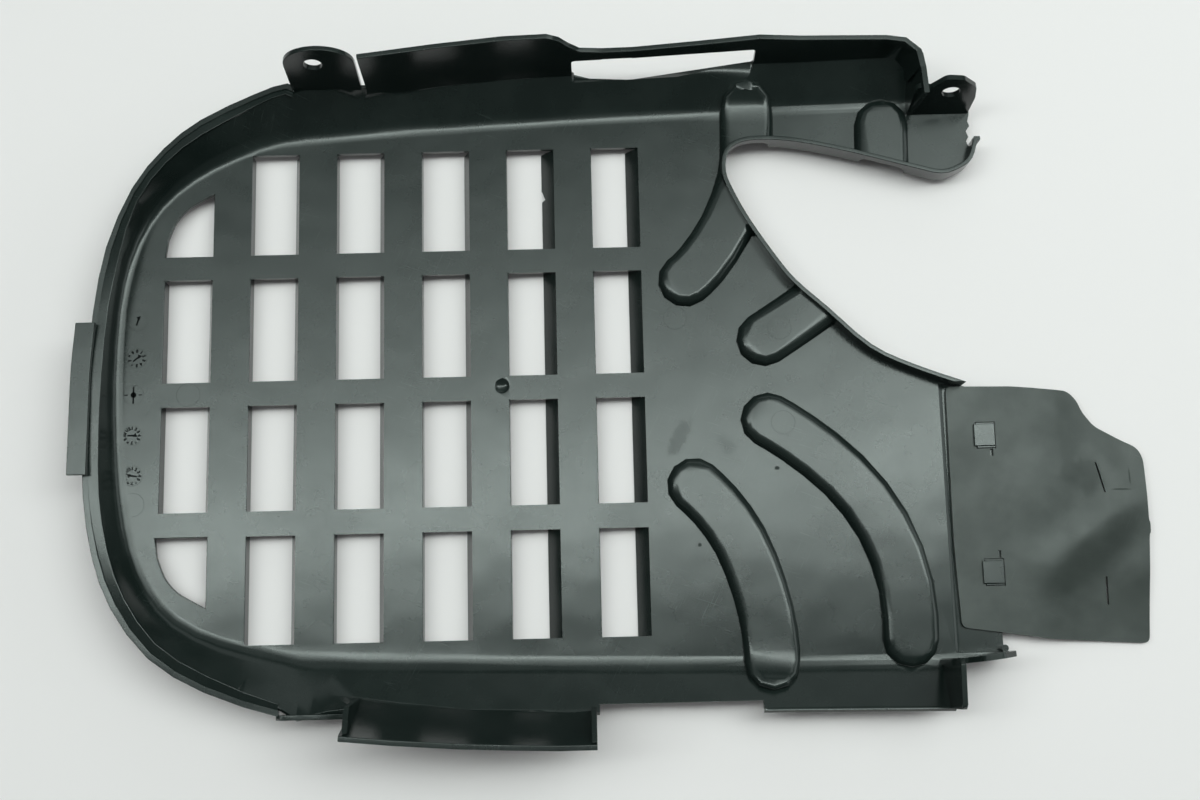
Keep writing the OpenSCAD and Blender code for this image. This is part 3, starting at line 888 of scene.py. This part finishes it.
@dataclass
class MouldMarks:
    """Dials and pin marks the mould leaves on the floor, raised or sunk by a hair; figures in
    painted shade.
    """

    skin: bpy.types.Material
    # Finish of the figures and pointers: painted shade of their relief.
    ink: bpy.types.Material
    dial_radius: float = 5.2
    dial_line: float = 0.35
    pin_radius: float = 6.0
    pin_line: float = 0.3
    ring_steps: int = 48
    relief: float = 0.09
    figure_size: float = 2.1
    figure_ring: float = 3.6
    figure_weight: float = 0.14
    shaft: tuple[float, float, float] = (-2.4, 1.2, 0.8)
    head: tuple[float, float] = (1.4, 1.3)
    head_at: float = 1.6
    hub: tuple[float, float] = (1.5, 1.4)
    hub_sides: int = 24
    cross: tuple[tuple[float, float, float, float], ...] = (
        (90, -4.4, 4.4, 0.8),
        (0, 2.6, 4.4, 0.5),
        (180, 2.8, 4.6, 0.5),
    )
    dials: tuple[Dial, ...] = (
        Dial(-232.2, 46.0, DialKind.PLAIN, 75.0),
        Dial(-232.1, 26.7, DialKind.YEAR, 38.0),
        Dial(-233.3, 8.0, DialKind.CROSS, 90.0),
        Dial(-233.4, -12.5, DialKind.MONTH, 0.0),
        Dial(-232.7, -32.8, DialKind.MONTH, 172.0),
    )
    pins: tuple[tuple[float, float, float], ...] = (
        (-206.0, 7.4, 0.0),
        (-232.3, -47.2, 0.0),
        (-141.9, -56.8, 0.0),
        (38.8, 41.2, 0.0),
        (90.6, 33.7, 5.5),
        (90.4, -14.3, 5.5),
    )

    def build(self) -> list[bpy.types.Object]:
        """Build all the marks.

        Returns:
            One object with the pale rings and one with the figures, coloured dark as painted
            shade.
        """
        rings, figures = bmesh.new(), bmesh.new()
        for dial in self.dials:
            self._ring(rings, (dial.x, dial.y, 0.0), self.dial_radius, self.dial_line)
            self._pointer(figures, dial)
            self._numerals(figures, dial)
        for pin in self.pins:
            self._ring(rings, pin, self.pin_radius, self.pin_line)
        made = [
            object_from(rings, "floor_rings", self.skin),
            object_from(figures, "dial_figures", self.ink),
        ]
        return made

    def _ring(
        self,
        shape: bmesh.types.BMesh,
        centre: tuple[float, float, float],
        radius: float,
        width: float,
    ) -> None:
        """Add a low ring to a bmesh.

        Args:
            shape: The bmesh that takes it.
            centre: Its centre in the drawing, with the height of the surface it stands on.
            radius: Its outer radius in millimetres.
            width: Its width in millimetres.
        """
        section = (
            (radius - width, -self.relief),
            (radius - width * 0.7, self.relief),
            (radius - width * 0.3, self.relief),
            (radius, -self.relief),
        )
        ring = bmesh.new()
        verts = [ring.verts.new((reach * MM, 0.0, rise * MM)) for reach, rise in section]
        edges = [ring.edges.new((verts[k - 1], verts[k])) for k in range(len(verts))]
        bmesh.ops.spin(
            ring,
            geom=[*verts, *edges],
            cent=(0, 0, 0),
            axis=(0, 0, 1),
            angle=math.tau,
            steps=self.ring_steps,
            use_merge=True,
        )
        bmesh.ops.translate(ring, verts=ring.verts, vec=place(*centre))
        bmesh.ops.recalc_face_normals(ring, faces=ring.faces)
        mesh = bpy.data.meshes.new("ring")
        ring.to_mesh(mesh)
        ring.free()
        shape.from_mesh(mesh)
        bpy.data.meshes.remove(mesh)

    def _bar(
        self,
        shape: bmesh.types.BMesh,
        dial: Dial,
        angle: float,
        span: tuple[float, float, float],
    ) -> None:
        """Add a slim raised bar that runs out from a dial's centre.

        Args:
            shape: The bmesh that takes it.
            dial: The dial it belongs to.
            angle: Its direction in degrees.
            span: Where it begins and ends on that direction, and its width, in millimetres.
        """
        start, end, width = span
        sizes = ((end - start) * MM, width * MM, 2 * self.relief * MM)
        made = bmesh.ops.create_cube(shape, size=1.0)["verts"]
        bmesh.ops.scale(shape, verts=made, vec=sizes)
        self._set_on(shape, made, dial, (start + end) / 2, angle)

    def _stud(
        self,
        shape: bmesh.types.BMesh,
        dial: Dial,
        sides: int,
        radii: tuple[float, float],
        place_on: tuple[float, float],
    ) -> None:
        """Add a low round or three-sided stud to a dial.

        Args:
            shape: The bmesh that takes it.
            dial: The dial it belongs to.
            sides: Its number of sides.
            radii: Its lower and upper radius in millimetres.
            place_on: Its distance from the dial's centre and its direction in degrees.
        """
        made = bmesh.ops.create_cone(
            shape,
            cap_ends=True,
            segments=sides,
            radius1=radii[0] * MM,
            radius2=radii[1] * MM,
            depth=2 * self.relief * MM,
        )["verts"]
        self._set_on(shape, made, dial, *place_on)

    @staticmethod
    def _set_on(
        shape: bmesh.types.BMesh,
        verts: list[bmesh.types.BMVert],
        dial: Dial,
        out: float,
        angle: float,
    ) -> None:
        """Move vertices out from a dial's centre, turn them about it and set them there."""
        turn = Matrix.Rotation(math.radians(angle), 3, "Z")
        bmesh.ops.translate(shape, verts=verts, vec=(out * MM, 0, 0))
        bmesh.ops.rotate(shape, verts=verts, cent=(0, 0, 0), matrix=turn)
        bmesh.ops.translate(shape, verts=verts, vec=place(dial.x, dial.y))

    def _pointer(self, shape: bmesh.types.BMesh, dial: Dial) -> None:
        """Add a dial's pointer: a shaft with a broader head, or a cross with a hub."""
        if dial.kind is DialKind.CROSS:
            for angle, *span in self.cross:
                self._bar(shape, dial, angle, tuple(span))
            self._stud(shape, dial, self.hub_sides, self.hub, (0.0, 0.0))
            return
        self._bar(shape, dial, dial.pointer, self.shaft)
        self._stud(shape, dial, 3, self.head, (self.head_at, dial.pointer))

    def _numerals(self, shape: bmesh.types.BMesh, dial: Dial) -> None:
        """Add the figures round a dial's face."""
        labels = {
            DialKind.YEAR: [str(k) for k in range(10)],
            DialKind.MONTH: [str(k) for k in range(1, 13)],
        }.get(dial.kind, [])
        for k, label in enumerate(labels):
            turn = math.tau * k / len(labels)
            curve = bpy.data.curves.new("figure", "FONT")
            curve.body, curve.size = label, self.figure_size * MM
            curve.align_x, curve.align_y = "CENTER", "CENTER"
            curve.extrude, curve.offset = self.relief * MM, self.figure_weight * MM
            holder = bpy.data.objects.new("figure", curve)
            bpy.context.scene.collection.objects.link(holder)
            graph = bpy.context.evaluated_depsgraph_get()
            mesh = bpy.data.meshes.new_from_object(holder.evaluated_get(graph), depsgraph=graph)
            spot = Matrix.Translation(place(dial.x, dial.y)) @ Matrix.Rotation(-turn, 4, "Z")
            mesh.transform(spot @ Matrix.Translation((0, self.figure_ring * MM, 0)))
            shape.from_mesh(mesh)
            bpy.data.objects.remove(holder)
            bpy.data.meshes.remove(mesh)
            bpy.data.curves.remove(curve)


@dataclass(frozen=True)
class Softbox:
    """One rectangular lamp that points at the object; its size and place are in metres."""

    name: str
    at: tuple[float, float, float]
    size: tuple[float, float]
    radiance: float
    tint: tuple[float, float, float] = (1.0, 1.0, 1.0)
    roll: float = 0.0

    def hang(self) -> None:
        """Add the lamp to the scene, aimed at the origin."""
        lamp = bpy.data.lights.new(self.name, "AREA")
        lamp.shape = "RECTANGLE"
        lamp.size, lamp.size_y = self.size
        lamp.energy = self.radiance * math.pi * self.size[0] * self.size[1]
        lamp.color = self.tint
        holder = bpy.data.objects.new(self.name, lamp)
        back = Vector(self.at).normalized()
        overhead = back.z >= 0.6
        upright = Vector((0.0, 1.0, 0.0) if overhead else (0.0, 0.0, 1.0))
        right = upright.cross(back).normalized()
        turn = Matrix((right, back.cross(right), back)).transposed().to_4x4()
        roll = Matrix.Rotation(math.radians(self.roll), 4, "Z")
        holder.matrix_world = Matrix.Translation(self.at) @ turn @ roll
        bpy.context.scene.collection.objects.link(holder)


@dataclass
class Studio:
    """Pale table, soft lamps and the photograph's camera."""

    table_colour: tuple[float, float, float] = (0.915, 0.832, 0.848)
    table_roughness: float = 0.8
    table_specular: float = 0.2
    table_half: float = 5.0
    table_drop: float = 0.3 * MM
    table_fade: tuple[float, float] = (0.45, 1.6)
    wall_colour: tuple[float, float, float] = (0.76, 0.79, 0.77)
    world_colour: tuple[float, float, float] = (0.9, 0.96, 0.95)
    world_strength: float = 0.10
    lens: float = 45.0
    sensor: float = 36.0
    camera_at: tuple[float, float, float] = (-3.1, -131.5, 738.4)
    picture_up: tuple[float, float] = (0.0236, 0.9997)
    lamps: tuple[Softbox, ...] = (
        Softbox("strip_edge", (0.05, 0.055, 1.9), (4.4, 0.11), 3.9, STRIP_TINT, 4.8),
        Softbox("strip_lamp", (0.05, 0.165, 1.9), (4.4, 0.11), 11.0, STRIP_TINT, 4.8),
        Softbox("strip_fade", (0.05, 0.335, 1.9), (4.4, 0.23), 3.4, STRIP_TINT, 4.8),
        Softbox("strip_end", (0.05, 0.60, 1.9), (4.4, 0.30), 1.5, STRIP_TINT, 4.8),
        Softbox("side_glow", (0.9, 0.75, 1.8), (1.1, 0.9), 1.3, STRIP_TINT),
        Softbox("ceiling_glow", (0.0, 0.7, 2.6), (4.2, 3.2), 0.34, ROOM_TINT),
        Softbox("window_far", (0.6, 2.4, 0.9), (2.6, 1.2), 0.50, ROOM_TINT),
        Softbox("window_right", (2.4, 0.1, 0.75), (2.0, 1.3), 1.3, ROOM_TINT),
    )

    def build(self) -> None:
        """Build the table, the lamps, the world and the camera."""
        self._table()
        for lamp in self.lamps:
            lamp.hang()
        self._room()
        self._camera()
        bpy.context.scene.view_settings.view_transform = "Standard"

    def _room(self) -> None:
        """Make a dim world that the camera sees as a pale wall."""
        world = bpy.data.worlds.new("room")
        world.use_nodes = True
        world.node_tree.nodes.clear()
        bench = NodeBench(world.node_tree)
        dim, wall = (
            bench.add("ShaderNodeBackground", {"Color": (*colour, 1.0), "Strength": strength})
            for colour, strength in (
                (self.world_colour, self.world_strength),
                (self.wall_colour, 1.0),
            )
        )
        seen = bench.add("ShaderNodeLightPath").outputs["Is Camera Ray"]
        mixed = bench.mix_shaders(seen, dim, wall)
        bench.add("ShaderNodeOutputWorld", {"Surface": mixed})
        bpy.context.scene.world = world

    def _table(self) -> None:
        """Add the pale table that the cover lies on."""
        shape = bmesh.new()
        bmesh.ops.create_grid(shape, x_segments=1, y_segments=1, size=self.table_half)
        mesh = bpy.data.meshes.new("table")
        shape.to_mesh(mesh)
        shape.free()
        mesh.materials.append(self._table_paint())
        table = bpy.data.objects.new("table", mesh)
        table.location.z = -self.table_drop
        bpy.context.scene.collection.objects.link(table)

    def _table_paint(self) -> bpy.types.Material:
        """Make the table's paint, which fades into the wall far from the cover."""
        paint = bpy.data.materials.new("table_paint")
        paint.use_nodes = True
        bench = NodeBench(paint.node_tree)
        shader = paint.node_tree.nodes["Principled BSDF"]
        shader.inputs["Base Color"].default_value = (*self.table_colour, 1.0)
        shader.inputs["Roughness"].default_value = self.table_roughness
        shader.inputs["Specular IOR Level"].default_value = self.table_specular
        spot = bench.add("ShaderNodeTexCoord").outputs["Object"]
        reach = bench.vector("LENGTH", spot).outputs["Value"]
        seen = bench.add("ShaderNodeLightPath").outputs["Is Camera Ray"]
        far = bench.math("MULTIPLY", seen, bench.ramp(reach, *self.table_fade))
        wall_light = {"Color": (*self.wall_colour, 1.0), "Strength": 1.0}
        glow = bench.add("ShaderNodeEmission", wall_light)
        surface = paint.node_tree.nodes["Material Output"].inputs["Surface"]
        bench.feed(surface, bench.mix_shaders(far, shader, glow))
        return paint

    def _camera(self) -> None:
        """Add the camera where the photograph was taken from."""
        data = bpy.data.cameras.new("camera")
        data.lens, data.sensor_width = self.lens, self.sensor
        camera = bpy.data.objects.new("camera", data)
        bpy.context.scene.collection.objects.link(camera)
        eye, target = place(*self.camera_at), place(0.0, 0.0)
        ahead = (target - eye).normalized()
        right = ahead.cross(Vector((*self.picture_up, 0.0))).normalized()
        up = right.cross(ahead)
        turn = Matrix((right, up, -ahead)).transposed().to_4x4()
        camera.matrix_world = Matrix.Translation(eye) @ turn
        bpy.context.scene.camera = camera


def main() -> None:
    """Build the pieces in order and report each one."""
    logging.basicConfig(level=logging.INFO, format="%(name)s: %(message)s")
    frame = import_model()
    nodes = frame["nodes"]
    groups = SharedGroups()
    plastic = BLACK_MOULDING.material(groups)
    rubber = GREY_RUBBER.material(groups)
    # The dial figures' dark finish is painted shade of their relief.
    ink = SHADE_PAINTED_MARKS.material(groups)
    made = [
        Moulding(plastic).build(nodes["under_cover"]),
        Flap(rubber).build(nodes["rubber_flap"]),
        *MouldMarks(plastic, ink).build(),
    ]
    for piece in made:
        LOG.info("%s: %d faces", piece.name, len(piece.data.polygons))
    Studio().build()


if __name__ == "__main__":
    main()
